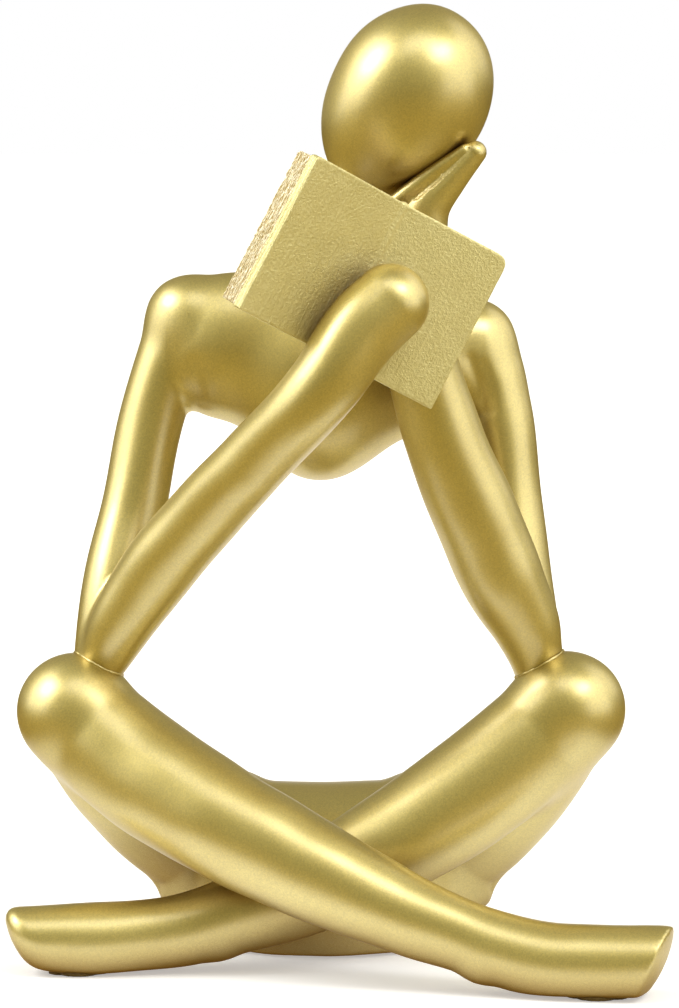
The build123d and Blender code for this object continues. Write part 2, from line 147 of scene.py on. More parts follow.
@dataclass(frozen=True)
class Limb:
    """A tapering limb along a smooth centre line through its stations.

    A station is x, y, z and the radius, or x, y, z, the half height and the half depth.
    """

    stations: Rows
    steps: int = 4  # straight runs between two stations, for the first guess
    stride: float = 0.3  # how far one correction of the guess may go, in gaps

    @cached_property
    def rows(self) -> np.ndarray:
        """The stations as rows of x, y, z, half height and half depth."""
        return np.array([(*s, s[3]) if len(s) == 4 else s for s in self.stations], float)

    @cached_property
    def gaps(self) -> np.ndarray:
        """The distances between the stations."""
        return np.linalg.norm(np.diff(self.rows[:, :3], axis=0), axis=1)

    @cached_property
    def slopes(self) -> np.ndarray:
        """How fast each column changes along the centre line, at each station."""
        gaps = self.gaps[:, None]
        runs = np.diff(self.rows, axis=0) / gaps
        inner = (runs[:-1] * gaps[1:] + runs[1:] * gaps[:-1]) / (gaps[:-1] + gaps[1:])
        return np.vstack([runs[:1], inner, runs[-1:]])

    def spots(self, steps: int) -> np.ndarray:
        """Returns evenly spread places along the limb, some steps in each gap."""
        return np.linspace(0, len(self.gaps), len(self.gaps) * steps + 1)

    def at(self, spot: np.ndarray) -> tuple[np.ndarray, np.ndarray, np.ndarray]:
        """Reads the limb's rows at places along it.

        Args:
            spot: the number of the station before each place, plus the share of the gap.

        Returns:
            The rows, how they change with the spot, and how that changes.
        """
        index = np.clip(spot.astype(int), 0, len(self.gaps) - 1)
        t = (spot - index)[:, None]
        gap = self.gaps[index][:, None]
        start, end = self.rows[index], self.rows[index + 1]
        leave, arrive = self.slopes[index] * gap, self.slopes[index + 1] * gap
        cubic = 2 * start - 2 * end + leave + arrive
        square = 3 * end - 3 * start - 2 * leave - arrive
        rows = ((cubic * t + square) * t + leave) * t + start
        return rows, (3 * cubic * t + 2 * square) * t + leave, 6 * cubic * t + 2 * square

    def __call__(self, points: np.ndarray) -> np.ndarray:
        """Returns each point's distance from the limb's skin."""
        spots = self.spots(self.steps)
        run = self.at(spots)[0]
        least = np.full(len(points), np.inf)
        spot = np.zeros(len(points))
        for place, start, end in zip(spots, run[:-1], run[1:]):
            way = end[:3] - start[:3]
            off = points - start[:3]
            share = np.clip(off @ way / (way @ way), 0, 1)
            off -= share[:, None] * way
            reach = np.sqrt(dots(off, off)) - (start[3] + end[3]) / 2
            nearer = reach < least
            least[nearer] = reach[nearer]
            spot[nearer] = place + share[nearer] / self.steps
        for _ in range(2):
            rows, way, bend = self.at(spot)
            off = rows[:, :3] - points
            speed = dots(way[:, :3], way[:, :3])
            turn = np.maximum(speed + dots(off, bend[:, :3]), 0.3 * speed)
            step = np.clip(dots(off, way[:, :3]) / turn, -self.stride, self.stride)
            spot = np.clip(spot - step, 0, len(self.gaps))
        rows, way, _ = self.at(spot)
        off = points - rows[:, :3]
        if np.all(self.rows[:, 3] == self.rows[:, 4]):
            return np.linalg.norm(off, axis=1) - rows[:, 3]
        way = units(way[:, :3])
        rise = units(np.array([0.0, 0.0, 1.0]) - way[:, 2:3] * way)
        high, deep = rows[:, 3], rows[:, 4]
        parts = [dots(off, axis) for axis in (rise, np.cross(way, rise), way)]
        return oval(parts, [high, deep, np.minimum(high, deep)])


@dataclass(frozen=True)
class Ellipsoid:
    """An egg: an ellipsoid whose two ends along its axis differ in length."""

    centre: Triple
    axis: Triple
    radius: float
    above: float
    below: float

    def __call__(self, points: np.ndarray) -> np.ndarray:
        """Returns each point's near distance from the egg's skin."""
        off = points - np.array(self.centre)
        along = off @ unit(self.axis)
        across = np.sqrt(np.maximum(dots(off, off) - along**2, 0))
        return oval([across, along], [self.radius, np.where(along > 0, self.above, self.below)])


@dataclass(frozen=True)
class Saddle:
    """A body with elliptical sections square to X, such as the pelvis or the yoke.

    A row is x, y, z, the half height and the half depth of one section.
    """

    rows: Rows
    end_rounding: float

    @classmethod
    def mirrored(cls, rows: Rows, end_rounding: float) -> "Saddle":
        """Returns a saddle whose rows end in its middle and come back on the other side."""
        middle = rows[-1][0]
        far = [(2 * middle - x, *section) for x, *section in rows[-2::-1]]
        return cls((*rows, *far), end_rounding)

    @cached_property
    def table(self) -> np.ndarray:
        """Finer rows along a smooth curve through the given ones."""
        curve = Limb(self.rows)
        return curve.at(curve.spots(12))[0]

    def __call__(self, points: np.ndarray) -> np.ndarray:
        """Returns each point's near distance from the saddle's skin."""
        x, place = points[:, 0], self.table[:, 0]
        y, z, high, deep = (np.interp(x, place, column) for column in self.table.T[1:])
        skin = oval([points[:, 1] - y, points[:, 2] - z], [deep, high])
        return soft_max(skin, np.maximum(place[0] - x, x - place[-1]), self.end_rounding)


@dataclass(frozen=True)
class Slab:
    """A block with softened edges in the book's own directions."""

    origin: Triple
    axes: tuple[Triple, Triple, Triple]
    low: Triple
    high: Triple
    edge: float
    corner: float  # the radius of the corner at the far end and the top

    def __call__(self, points: np.ndarray) -> np.ndarray:
        """Returns each point's distance from the block's skin."""
        low, high = np.array(self.low), np.array(self.high)
        half = (high - low) / 2 - self.edge
        local = (points - np.array(self.origin)) @ np.array(self.axes).T - (low + high) / 2
        off = np.abs(local) - half
        outside = np.linalg.norm(np.maximum(off, 0), axis=1)
        skin = outside + np.minimum(off.max(axis=1), 0) - self.edge
        out = local[:, [0, 2]] - (half[[0, 2]] + self.edge - self.corner)
        round_off = np.linalg.norm(np.maximum(out, 0), axis=1) - self.corner
        return soft_max(skin, np.where(out.min(axis=1) > 0, round_off, -self.corner), self.edge)


def soft_min(first: np.ndarray, second: np.ndarray, reach: float) -> np.ndarray:
    """Joins two fields with a fillet that starts where they differ by the reach."""
    if reach <= 0:
        return np.minimum(first, second)
    share = np.clip(0.5 + 0.5 * (second - first) / reach, 0, 1)
    return second * (1 - share) + first * share - reach * share * (1 - share)


def soft_max(first: np.ndarray, second: np.ndarray, reach: float) -> np.ndarray:
    """Cuts one field by another with a rounded edge."""
    return -soft_min(-first, -second, reach)


def blend(reach: float, *fields: Field) -> Field:
    """Returns the fields joined one after the other with a fillet."""

    def joined(points: np.ndarray) -> np.ndarray:
        """Returns each point's distance from the joined skin."""
        total = fields[0](points)
        for other in fields[1:]:
            total = soft_min(total, other(points), reach)
        return total

    return joined


def trim(body: Field, *faces: Field, rounding: float = 0.0) -> Field:
    """Returns the body with what lies past each face cut off."""

    def cut(points: np.ndarray) -> np.ndarray:
        """Returns each point's distance from the cut skin."""
        total = body(points)
        for face in faces:
            total = soft_max(total, face(points), rounding)
        return total

    return cut


def carve(body: Field, tool: Field) -> Field:
    """Returns the body with the tool taken out of it."""
    return lambda points: np.maximum(body(points), -tool(points))


@dataclass(frozen=True)
class Fold:
    """A soft crease pressed into a skin along a line, or a ridge where the depth is negative."""

    line: tuple[Triple, ...]
    depth: float
    width: float

    def push(self, points: np.ndarray) -> np.ndarray:
        """Returns how far the skin gives way at each point."""
        path = Limb(tuple((*place, 0.0) for place in self.line))
        return self.depth * np.exp(-((path(points) / self.width) ** 2))


def folded(body: Field, *folds: Fold) -> Field:
    """Returns the body with the folds pressed into it."""
    return lambda points: body(points) + sum(fold.push(points) for fold in folds)


# ---------------------------------------------------------------- meshes

# Steps for reading a field's slope, and how closely a corner's normal has to agree with its
# face; all but the slack are shares, of a cell or of full agreement
FINE_STEP = 0.05
NORMAL_STEP = 0.06
CRISP = 0.965  # below it the corner lies on a sharp edge
STRAY = 0.8  # below it a sharp corner takes the face's own normal
LEVEL = 0.93  # above it the corner can take the normal of the uncut skin
SLACK = 0.08  # how far from the uncut skin, in millimetres, it may lie for that


def gradient(field: Field, points: np.ndarray, step: float) -> np.ndarray:
    """Returns the field's slope at each point, from four points around it."""
    corners = np.array([(1, -1, -1), (-1, -1, 1), (-1, 1, -1), (1, 1, 1)], float)
    return sum(corner * field(points + corner * step)[:, None] for corner in corners) / (4 * step)


def facing(field: Field, points: np.ndarray, step: float) -> np.ndarray:
    """Returns the direction in which the field rises at each point."""
    return units(gradient(field, points, step))


def sample(field: Field, low: np.ndarray, high: np.ndarray, cell: float) -> np.ndarray:
    """Samples a field on a grid, finely only near its skin.

    Args:
        field: the field, in millimetres.
        low: the grid's lowest corner.
        high: the highest corner that it has to reach.
        cell: the grid's spacing.

    Returns:
        The grid of values.
    """
    block = 4
    counts = np.ceil((high - low) / (cell * block)).astype(int) + 1
    middles = low + (np.indices(counts).reshape(3, -1).T * block + (block - 1) / 2) * cell
    rough = field(middles).reshape(counts)
    values = rough
    for axis in range(3):
        values = np.repeat(values, block, axis)
    near = np.argwhere(np.abs(rough) < block * cell * 1.5)
    inner = np.indices((block,) * 3).reshape(3, -1).T
    nodes = (near[:, None, :] * block + inner).reshape(-1, 3)
    values[tuple(nodes.T)] = field(low + nodes * cell)
    return values


def skin_of(field: Field, low: np.ndarray, high: np.ndarray, cell: float) -> tuple:
    """Wraps a closed mesh of four-sided faces round a field, and keeps its sharp edges.

    Args:
        field: the field, in millimetres.
        low: the lowest corner of the space it fills.
        high: the highest corner of that space.
        cell: the size of the mesh's faces.

    Returns:
        The vertices and the faces, as arrays.
    """
    hold, leash, nudge = 0.02, 0.9, 0.2  # a vertex's pull to its middle, and how far it may go
    low = np.floor(low / cell - 2) * cell
    values = sample(field, low, high + 2 * cell, cell)
    steps = np.eye(3, dtype=int)
    spots, owners, quads = [], [], []
    for axis in range(3):
        side, other = steps[(axis + 1) % 3], steps[(axis + 2) % 3]
        here, there = (
            values[tuple(run if a == axis else slice(1, -1) for a in range(3))]
            for run in (slice(0, -1), slice(1, None))
        )
        crossing = (here < 0) != (there < 0)
        near, far = here[crossing], there[crossing]
        base = np.argwhere(crossing) + side + other
        spot = base.astype(float)
        spot[:, axis] += near / (near - far)
        around = np.stack([base - side - other, base - other, base, base - side], axis=1)
        owner = np.ravel_multi_index(np.moveaxis(around, -1, 0), values.shape)
        quads.append(np.where((near < 0)[:, None], owner, owner[:, ::-1]))
        spots.append(np.repeat(low + spot * cell, 4, axis=0))
        owners.append(owner.ravel())
    spots = np.vstack(spots)
    cells, owners = np.unique(np.concatenate(owners), return_inverse=True)
    count = np.bincount(owners)

    def gathered(rows: np.ndarray) -> np.ndarray:
        """Returns the sum of the rows that belong to each vertex."""
        return np.stack([np.bincount(owners, column) for column in rows.T], -1)

    slopes = np.repeat(facing(field, spots[::4], cell * FINE_STEP), 4, axis=0)
    middle = gathered(spots) / count[:, None]
    lift = dots(slopes, spots - middle[owners])
    square = np.stack([gathered(slopes * slopes[:, [b]]) for b in range(3)], -1)
    square += (hold * count)[:, None, None] * np.eye(3)
    moved = np.linalg.solve(square, gathered(slopes * lift[:, None])[:, :, None])[:, :, 0]
    length = np.maximum(np.linalg.norm(moved, axis=1), 1e-9)
    places = middle + moved * np.minimum(1, leash * cell / length)[:, None]
    slope = gradient(field, places, cell * FINE_STEP)
    steep = np.maximum(dots(slope, slope), 0.25)
    shift = np.clip(field(places) / steep, -nudge * cell, nudge * cell)
    return places - shift[:, None] * slope, np.searchsorted(cells, np.vstack(quads))


def corner_normals(
    field: Field, skin: Field, places: np.ndarray, quads: np.ndarray, cell: float
) -> np.ndarray:
    """Works out the shading normal of each corner of each face from the field itself.

    Args:
        field: the field, in millimetres.
        skin: the same body before its joint faces were cut.
        places: the mesh's vertices.
        quads: its faces.
        cell: the size of the faces.

    Returns:
        One normal for each corner, the faces in order.
    """
    step = cell * NORMAL_STEP
    corners = places[quads]
    flat = units(np.cross(corners[:, 2] - corners[:, 0], corners[:, 3] - corners[:, 1]))
    normals = facing(field, places, step)[quads]
    face, corner = np.nonzero(np.einsum("ijk,ik->ij", normals, flat) < CRISP)
    inward = corners[face, corner] * 0.45 + corners.mean(axis=1)[face] * 0.55
    local = facing(field, inward, step)
    off = dots(local, flat[face]) < STRAY
    local[off] = flat[face][off]
    normals[face, corner] = local
    whole = facing(skin, places, step)[quads]
    level = (np.abs(skin(places)) < SLACK)[quads]
    level &= np.einsum("ijk,ik->ij", whole, flat) > LEVEL
    normals[level] = whole[level]
    return normals.reshape(-1, 3)


def piece_from(
    name: str, places: np.ndarray, faces: list, material: bpy.types.Material
) -> bpy.types.Object:
    """Makes a mesh object from places in millimetres and links it to the scene."""
    mesh = bpy.data.meshes.new(name)
    mesh.from_pydata((places * MM).tolist(), [], faces)
    mesh.polygons.foreach_set("use_smooth", np.ones(len(mesh.polygons), bool))
    mesh.materials.append(material)
    mesh.update()
    piece = bpy.data.objects.new(name, mesh)
    bpy.context.scene.collection.objects.link(piece)
    return piece


def stand_for(piece: bpy.types.Object, node: str) -> None:
    """Lets a piece ride on the figure and stand for its CAD node, whose mesh it hides."""
    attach(piece, "root")
    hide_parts(node)
    log.info("%s: %d faces", piece.name, len(piece.data.polygons))


@dataclass(frozen=True)
class Casting:
    """One casting: its CAD node, its field, and how finely its skin is drawn."""

    node: str
    shape: Field
    slot: Slot = Slot.BODY
    cell: float = 0.5
    skin: Field | None = None  # the same body before its joint faces are cut
    margin: float = 1.2  # how far past the CAD node its skin is looked for
    quick_factor: float = 1.7

    def build(self, material: bpy.types.Material) -> bpy.types.Object:
        """Returns the casting as a piece in the given finish that stands for its CAD node."""
        cell = self.cell * 1
        low, high = (np.array(corner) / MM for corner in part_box(self.node))
        places, quads = skin_of(self.shape, low - self.margin, high + self.margin, cell)
        normals = corner_normals(self.shape, self.skin or self.shape, places, quads, cell)
        piece = piece_from(f"{self.node}_casting", places, quads.tolist(), material)
        piece.data.normals_split_custom_set(normals.tolist())
        stand_for(piece, self.node)
        return piece


# ---------------------------------------------------------------- finishes


def linear(code: str) -> Colour:
    """Turns an sRGB hex colour into the linear colour that shaders use."""
    shares = [int(code[place : place + 2], 16) / 255 for place in (1, 3, 5)]
    return (*[s / 12.92 if s <= 0.04045 else ((s + 0.055) / 1.055) ** 2.4 for s in shares], 1)


def per_metre(size_mm: float) -> float:
    """Returns the texture scale that draws one feature in each size."""
    return 1 / (size_mm * MM)


def around(middle: float, below: float, above: float) -> Pair:
    """Returns the range that reaches so far below and above the middle."""
    return (middle - below, middle + above)


class Nodes:
    """The node tree of a material or world. Its methods return the new node's output."""

    def __init__(self, owner: bpy.types.Material | bpy.types.World) -> None:
        """Empties the owner's tree."""
        owner.use_nodes = True
        self.owner = owner
        self.tree = owner.node_tree
        self.tree.nodes.clear()

    def add(self, kind: str, output: str | int, inputs: dict, **settings: str | int) -> Socket:
        """Adds a node.

        Args:
            kind: the node's type.
            output: the name or number of the output to be returned.
            inputs: by name or number, the value or the socket that each input takes.
            settings: the node's own properties.

        Returns:
            The output.
        """
        node = self.tree.nodes.new(f"ShaderNode{kind}")
        for name, value in settings.items():
            setattr(node, name, value)
        for name, value in inputs.items():
            if isinstance(value, Socket):
                self.tree.links.new(value, node.inputs[name])
            else:
                node.inputs[name].default_value = value
        return node.outputs[output]

    def place(self) -> Socket:
        """Returns the place on the object."""
        return self.add("TexCoord", "Object", {})

    def part(self, vector: Socket, axis: str) -> Socket:
        """Returns how far a place or direction goes along an axis."""
        return self.add("SeparateXYZ", axis, {0: vector})

    def noise(self, place: Socket, size_mm: float, detail: float, **more: float) -> Socket:
        """Returns clouds of the given size; what else shapes them is given by input name."""
        scale = per_metre(size_mm)
        return self.add("TexNoise", "Fac", {"Vector": place, "Scale": scale, "Detail": detail, **more})

    def ranged(self, value: Socket, given: Pair, to: Pair = (0.0, 1.0), **settings: str) -> Socket:
        """Returns the value brought from one range to another."""
        ends = {"From Min": given[0], "From Max": given[1], "To Min": to[0], "To Max": to[1]}
        return self.add("MapRange", "Result", {"Value": value, **ends}, **settings)

    def mixed(
        self, share: Socket | float, first: Socket | Colour, second: Socket | Colour, **settings: str
    ) -> Socket:
        """Returns the first colour with a share of the second."""
        return self.add("Mix", 2, {0: share, 6: first, 7: second}, data_type="RGBA", **settings)

    def maths(self, operation: str, *values: Socket | float, **settings: bool) -> Socket:
        """Returns the values put together by the operation."""
        return self.add("Math", 0, dict(enumerate(values)), operation=operation, **settings)

    def bump(self, height: Socket, depth_mm: float, strength: float = 1.0, **more: Socket) -> Socket:
        """Returns the normals of a relief; what it lies on is given as Normal."""
        values = {"Height": height, "Distance": depth_mm * MM, "Strength": strength}
        return self.add("Bump", "Normal", {**values, **more})

    def show(self, shader: Socket, kind: str) -> None:
        """Makes the shader the surface of the material or world."""
        end = self.tree.nodes.new(f"ShaderNodeOutput{kind}")
        self.tree.links.new(shader, end.inputs["Surface"])

    def surface(self, inputs: dict) -> bpy.types.Material:
        """Ends a material with the one shader that all finishes share, and returns it."""
        self.show(self.add("BsdfPrincipled", 0, inputs), "Material")
        return self.owner


@dataclass(frozen=True)
class SprayedGold:
    """Satin gold lacquer, full of fine metal flakes, sprayed on cast resin.

    The flakes lie nearly flat, so it shines like brushed-down brass, with a soft grain
    of single flakes and a faint orange peel where the lacquer drew together.
    """

    name: str = "sprayed_gold_lacquer_on_cast_resin"
    tone: str = "#D8C878"
    deep_tone: str = "#CAB55C"
    edge_tone: str = "#C6AC6C"
    roughness: float = 0.44
    wear: float = 0.03
    lacquer_roughness: float = 0.33
    lacquer_index: float = 2.2  # pearl pigment in the lacquer bends light more than plain resin
    cloud_mm: float = 11.0
    peel_mm: float = 1.4
    peel_depth_mm: float = 0.012
    flake_mm: float = 0.17  # the real flakes are finer; drawn so that a pixel or two show one
    flake_depth_mm: float = 0.014
    spark: Pair = (0.86, 1.13)  # the dullest and the brightest flake against the tone
    painted_shade_tone: str = "#80602A"  # painted shade: the brown that corners, creases and parts near the floor darken to
    # how far the ambient occlusion looks for the painted shade, in millimetres
    painted_shade_reach_mm: float = 18.0
    painted_shade_open: Pair = (0.08, 0.74)  # shares of open sky, from full painted shade to none

    def build(self) -> bpy.types.Material:
        """Returns the lacquer as a node material."""
        nodes = Nodes(bpy.data.materials.new(self.name))
        place = nodes.place()
        cloud = nodes.noise(place, self.cloud_mm, 4.0, Roughness=0.6)
        cells = {"Vector": place, "Scale": per_metre(self.flake_mm), "Randomness": 1.0}
        spark = nodes.ranged(nodes.add("TexVoronoi", "Color", cells), (0.0, 1.0), self.spark)
        colour = nodes.mixed(cloud, linear(self.tone), linear(self.deep_tone))
        colour = nodes.mixed(1.0, colour, spark, blend_type="MULTIPLY")
        # Painted shade: ambient occlusion darkens the colour toward a brown and takes the lacquer coat
        # away in corners, creases and near the floor.
        sky = nodes.add("AmbientOcclusion", "AO", {"Distance": self.painted_shade_reach_mm * MM}, samples=8)
        unshaded = nodes.ranged(sky, self.painted_shade_open)
        peel = nodes.bump(nodes.noise(place, self.peel_mm, 2.0), self.peel_depth_mm)
        grain = nodes.noise(place, self.flake_mm, 2.0, Roughness=0.7)
        worn = around(self.roughness, self.wear, self.wear)
        return nodes.surface(
            {
                "Base Color": nodes.mixed(unshaded, linear(self.painted_shade_tone), colour),
                "Metallic": 1.0,
                "Roughness": nodes.ranged(cloud, (0.0, 1.0), worn),
                "Specular Tint": linear(self.edge_tone),
                "Coat Weight": unshaded,
                "Coat Roughness": self.lacquer_roughness,
                "Coat IOR": self.lacquer_index,
                "Normal": nodes.bump(grain, self.flake_depth_mm, Normal=peel),
            }
        )


@dataclass(frozen=True)
class BrushedCover:
    """The same gold lacquer over boards that were modelled with a cloth grain.

    The grain breaks the shine up, so the boards look drier than the figure, with
    faint brush marks that run along the spine.
    """

    turn: Triple  # the book's own turn in the frame
    name: str = "gold_lacquer_on_cloth_grained_boards"
    tone: str = "#F4EDBC"
    deep_tone: str = "#DACF96"
    roughness: float = 0.55
    blotch_mm: float = 3.5
    thread_mm: float = 0.36
    thread_depth_mm: float = 0.13
    mark_mm: float = 0.45
    mark_depth_mm: float = 0.13
    mark_stretch: Triple = (1.0, 1.0, 0.06)  # the marks are long along the spine

    def build(self) -> bpy.types.Material:
        """Returns the grained lacquer as a node material."""
        nodes = Nodes(bpy.data.materials.new(self.name))
        place = nodes.place()
        turned = {"Vector": place, "Rotation": self.turn}
        along = nodes.add("Mapping", "Vector", turned, vector_type="TEXTURE")
        long = nodes.add("Mapping", "Vector", {"Vector": along, "Scale": self.mark_stretch})
        blotch = nodes.noise(place, self.blotch_mm, 6.0, Roughness=0.65)
        grain = nodes.noise(place, self.thread_mm, 3.0, Roughness=0.7)
        marks = nodes.bump(nodes.noise(long, self.mark_mm, 2.0), self.mark_depth_mm, 0.7)
        dry = around(self.roughness, 0.05, 0.12)
        return nodes.surface(
            {
                "Base Color": nodes.mixed(blotch, linear(self.tone), linear(self.deep_tone)),
                "Metallic": 1.0,
                "Roughness": nodes.ranged(blotch, (0.0, 1.0), dry),
                "Normal": nodes.bump(grain, self.thread_depth_mm, 0.9, Normal=marks),
            }
        )


@dataclass(frozen=True)
class DryPages:
    """Resin page blocks that the lacquer only dusted.

    Their rough edges stay chalky and pale, with gold caught on the high leaves.
    """

    name: str = "dusted_gold_on_rough_resin_pages"
    tone: str = "#FBF5E4"
    deep_tone: str = "#D8C69A"
    roughness: float = 0.58
    speck_mm: float = 0.45
    speck_depth_mm: float = 0.06
    caught: Pair = (0.42, 0.62)  # heights of the specks, from bare to dusted

    def build(self) -> bpy.types.Material:
        """Returns the dusted resin as a node material."""
        nodes = Nodes(bpy.data.materials.new(self.name))
        speck = nodes.noise(nodes.place(), self.speck_mm, 5.0, Roughness=0.75)
        caught = nodes.ranged(speck, self.caught)
        return nodes.surface(
            {
                "Base Color": nodes.mixed(caught, linear(self.deep_tone), linear(self.tone)),
                "Metallic": 0.55,
                "Roughness": self.roughness,
                "Normal": nodes.bump(speck, self.speck_depth_mm, 0.8),
            }
        )


@dataclass(frozen=True)
class DrawnSteel:
    """Steel wire, drawn through a die and cut to length: grey, with fine scratches."""

    name: str = "drawn_steel_wire"
    tone: str = "#B8BABD"
    roughness: float = 0.28
    line_mm: float = 0.12
    line_depth_mm: float = 0.004

    def build(self) -> bpy.types.Material:
        """Returns the steel as a node material."""
        nodes = Nodes(bpy.data.materials.new(self.name))
        lines = nodes.noise(nodes.place(), self.line_mm, 2.0)
        dull = around(self.roughness, 0.06, 0.08)
        return nodes.surface(
            {
                "Base Color": linear(self.tone),
                "Metallic": 1.0,
                "Roughness": nodes.ranged(lines, (0.0, 1.0), dull),
                "Normal": nodes.bump(lines, self.line_depth_mm, 0.5),
            }
        )


@dataclass(frozen=True)
class PressedFelt:
    """Brown wool felt, pressed flat: matt, with a soft nap of tangled fibres."""

    name: str = "pressed_wool_felt"
    tone: str = "#6A5427"
    light_tone: str = "#7C6534"
    roughness: float = 0.95
    sheen: float = 0.35
    sheen_roughness: float = 0.5
    fibre_mm: float = 0.3
    fibre_depth_mm: float = 0.08

    def build(self) -> bpy.types.Material:
        """Returns the felt as a node material."""
        nodes = Nodes(bpy.data.materials.new(self.name))
        nap = nodes.noise(nodes.place(), self.fibre_mm, 6.0, Distortion=1.5)
        return nodes.surface(
            {
                "Base Color": nodes.mixed(nap, linear(self.tone), linear(self.light_tone)),
                "Roughness": self.roughness,
                "Sheen Weight": self.sheen,
                "Sheen Roughness": self.sheen_roughness,
                "Normal": nodes.bump(nap, self.fibre_depth_mm, 0.8),
            }
        )


# ---------------------------------------------------------------- the figure

# Faint waves that all castings share, so that their skins stay level at each joint: the
# direction of each, at the length of one over its spacing, and its phase
HAND_WAVES = (
    ((0.061, 0.032, 0.045), 0.4),
    ((-0.038, 0.071, 0.057), 2.1),
    ((0.083, -0.052, 0.029), 4.4),
    ((0.024, 0.063, -0.091), 1.3),
    ((-0.102, 0.018, 0.066), 5.2),
)
HAND_DEPTH = 0.022

GROUND = Face((0, 0, 0.3), (0, 0, -1))
RIGHT_HIP = Face((-15.0, 14.7, 7.4), (1, 0, 0))
LEFT_HIP = Face((12.6, 14.7, 7.4), (-1, 0, 0))
RIGHT_SHOULDER = Face((-19.2, 9.0, 83.6), (1, 0, 0))
LEFT_SHOULDER = Face((16.8, 9.0, 80.6), (-1, 0, 0))
RIGHT_ELBOW = Face((-30.37, -1.42, 38.98), (-0.4856, -0.2300, -0.8434))
LEFT_ELBOW = Face((26.00, 0.42, 38.42), (0.6124, -0.2080, -0.7627))
NECK = Face((6.42, -1.17, 103.07), (0.2838, -0.3416, 0.8960))
CROSSING = Face((-3.85, -11.25, 12.90), (0.0767, 0.8979, -0.4334))


def worked_by_hand(body: Field) -> Field:
    """Returns the body with the faint unevenness of a shape that was worked by hand."""
    ways = np.array([way for way, _ in HAND_WAVES]) * 2 * pi
    phases = np.array([phase for _, phase in HAND_WAVES])
    return lambda points: body(points) + HAND_DEPTH * np.sin(points @ ways.T + phases).sum(axis=1)


@dataclass(frozen=True)
class Elbow:
    """The place where an arm stands on a knee, with a thin line of lacquer round it."""

    knee: Ball
    face: Face  # the arm's end, which looks down into the knee
    arm: tuple[Limb, Limb]
    sink: float = 0.7
    fillet: float = 0.8
    bead_radius: float = 0.2
    bead_sides: tuple[int, int] = (144, 10)  # along the line and round it
    bead_reach: float = 7.0  # further out than any arm's foot
    bead_drop: float = 1.5  # the most that it lies above or below the face

    def arm_end(self) -> Face:
        """Returns the face that ends the arm just inside the knee."""
        return self.face.lapped(self.sink)

    def bead(self, name: str, leg: Casting, material: bpy.types.Material) -> None:
        """Draws the thin raised line where the lacquer gathered round the arm's foot.

        Args:
            name: the name of the piece.
            leg: the leg that the arm stands on.
            material: the finish of the figure.
        """
        count, round_it = self.bead_sides
        way, origin = unit(self.face.normal), np.array(self.face.origin)
        side = unit(np.cross(way, (0.0, 1.0, 0.0)))
        turns = np.linspace(0, 2 * pi, count, endpoint=False)
        ways = np.outer(np.cos(turns), side) + np.outer(np.sin(turns), np.cross(way, side))
        foot = blend(self.fillet, *self.arm)
        drop = np.zeros(count)
        for _ in range(3):
            low, high = np.zeros(count), np.full(count, self.bead_reach)
            for _ in range(14):
                middle = (low + high) / 2
                inside = foot(origin + ways * middle[:, None] + np.outer(drop, way)) < 0
                low, high = np.where(inside, middle, low), np.where(inside, high, middle)
            skin = leg.shape(origin + ways * low[:, None] + np.outer(drop, way))
            drop = np.clip(drop + skin, -self.bead_drop, self.bead_drop)
        rolls = np.linspace(0, 2 * pi, round_it, endpoint=False)
        swell = 0.22 * np.sin(turns * 7 + 1) + 0.15 * np.sin(turns * 17)  # thicker here and there
        thick = self.bead_radius * (1 + swell[:, None])
        reach = low[:, None] + thick * np.cos(rolls)
        fall = drop[:, None] + thick * np.sin(rolls)
        ring = origin + ways[:, None] * reach[:, :, None] + way * fall[:, :, None]
        spot = np.arange(count * round_it).reshape(count, round_it)
        after = np.roll(spot, -1, 0)
        quads = np.stack([spot, after, np.roll(after, -1, 1), np.roll(spot, -1, 1)], -1)
        piece = piece_from(name, ring.reshape(-1, 3), quads.reshape(-1, 4).tolist(), material)
        stand_for(piece, leg.node)


RIGHT_FOREARM = Limb(
    (
        (-31.15, -1.79, 37.63, 2.74), (-28.02, -4.02, 44.07, 4.03), (-23.94, -6.44, 50.72, 4.70),
        (-18.26, -10.48, 57.97, 4.75), (-10.24, -17.55, 67.26, 4.46), (-1.32, -23.62, 77.51, 4.61),
        (3.95, -22.61, 84.85, 4.99), (7.00, -22.00, 87.60, 4.90),
    )
)
LEFT_FOREARM = Limb(
    (
        (26.98, 0.09, 37.20, 2.86), (24.75, -1.36, 44.47, 4.46), (21.78, -2.66, 50.38, 5.39),
        (19.26, -3.79, 56.48, 5.55), (13.81, -6.14, 69.90, 5.12), (10.20, -8.00, 86.00, 4.18),
        (10.66, -8.44, 93.40, 3.79), (11.87, -9.01, 99.20, 2.97), (14.38, -9.58, 102.40, 2.31),
        (17.80, -10.20, 106.00, 1.45),
    )
)
RIGHT_UPPER_ARM = Limb(
    (
        (-19.30, 9.00, 83.60, 4.93), (-23.21, 7.70, 73.72, 4.31), (-26.41, 4.68, 58.77, 4.27),
        (-29.49, -0.17, 45.44, 4.09), (-31.15, -1.79, 37.63, 2.90),
    )
)
LEFT_UPPER_ARM = Limb(
    (
        (18.10, 9.00, 80.60, 5.06), (19.90, 8.50, 76.30, 5.05), (21.10, 7.89, 71.92, 4.72),
        (22.72, 6.33, 59.77, 4.49), (25.03, 2.32, 45.88, 3.96), (26.98, 0.09, 37.20, 2.99),
    )
)
RIGHT_KNEE = Ball((-33.70, -3.00, 33.20), 7.1)
LEFT_KNEE = Ball((30.20, -1.00, 33.20), 7.1)
RIGHT_JOINT = Elbow(RIGHT_KNEE, RIGHT_ELBOW, (RIGHT_UPPER_ARM, RIGHT_FOREARM))
LEFT_JOINT = Elbow(LEFT_KNEE, LEFT_ELBOW, (LEFT_UPPER_ARM, LEFT_FOREARM))


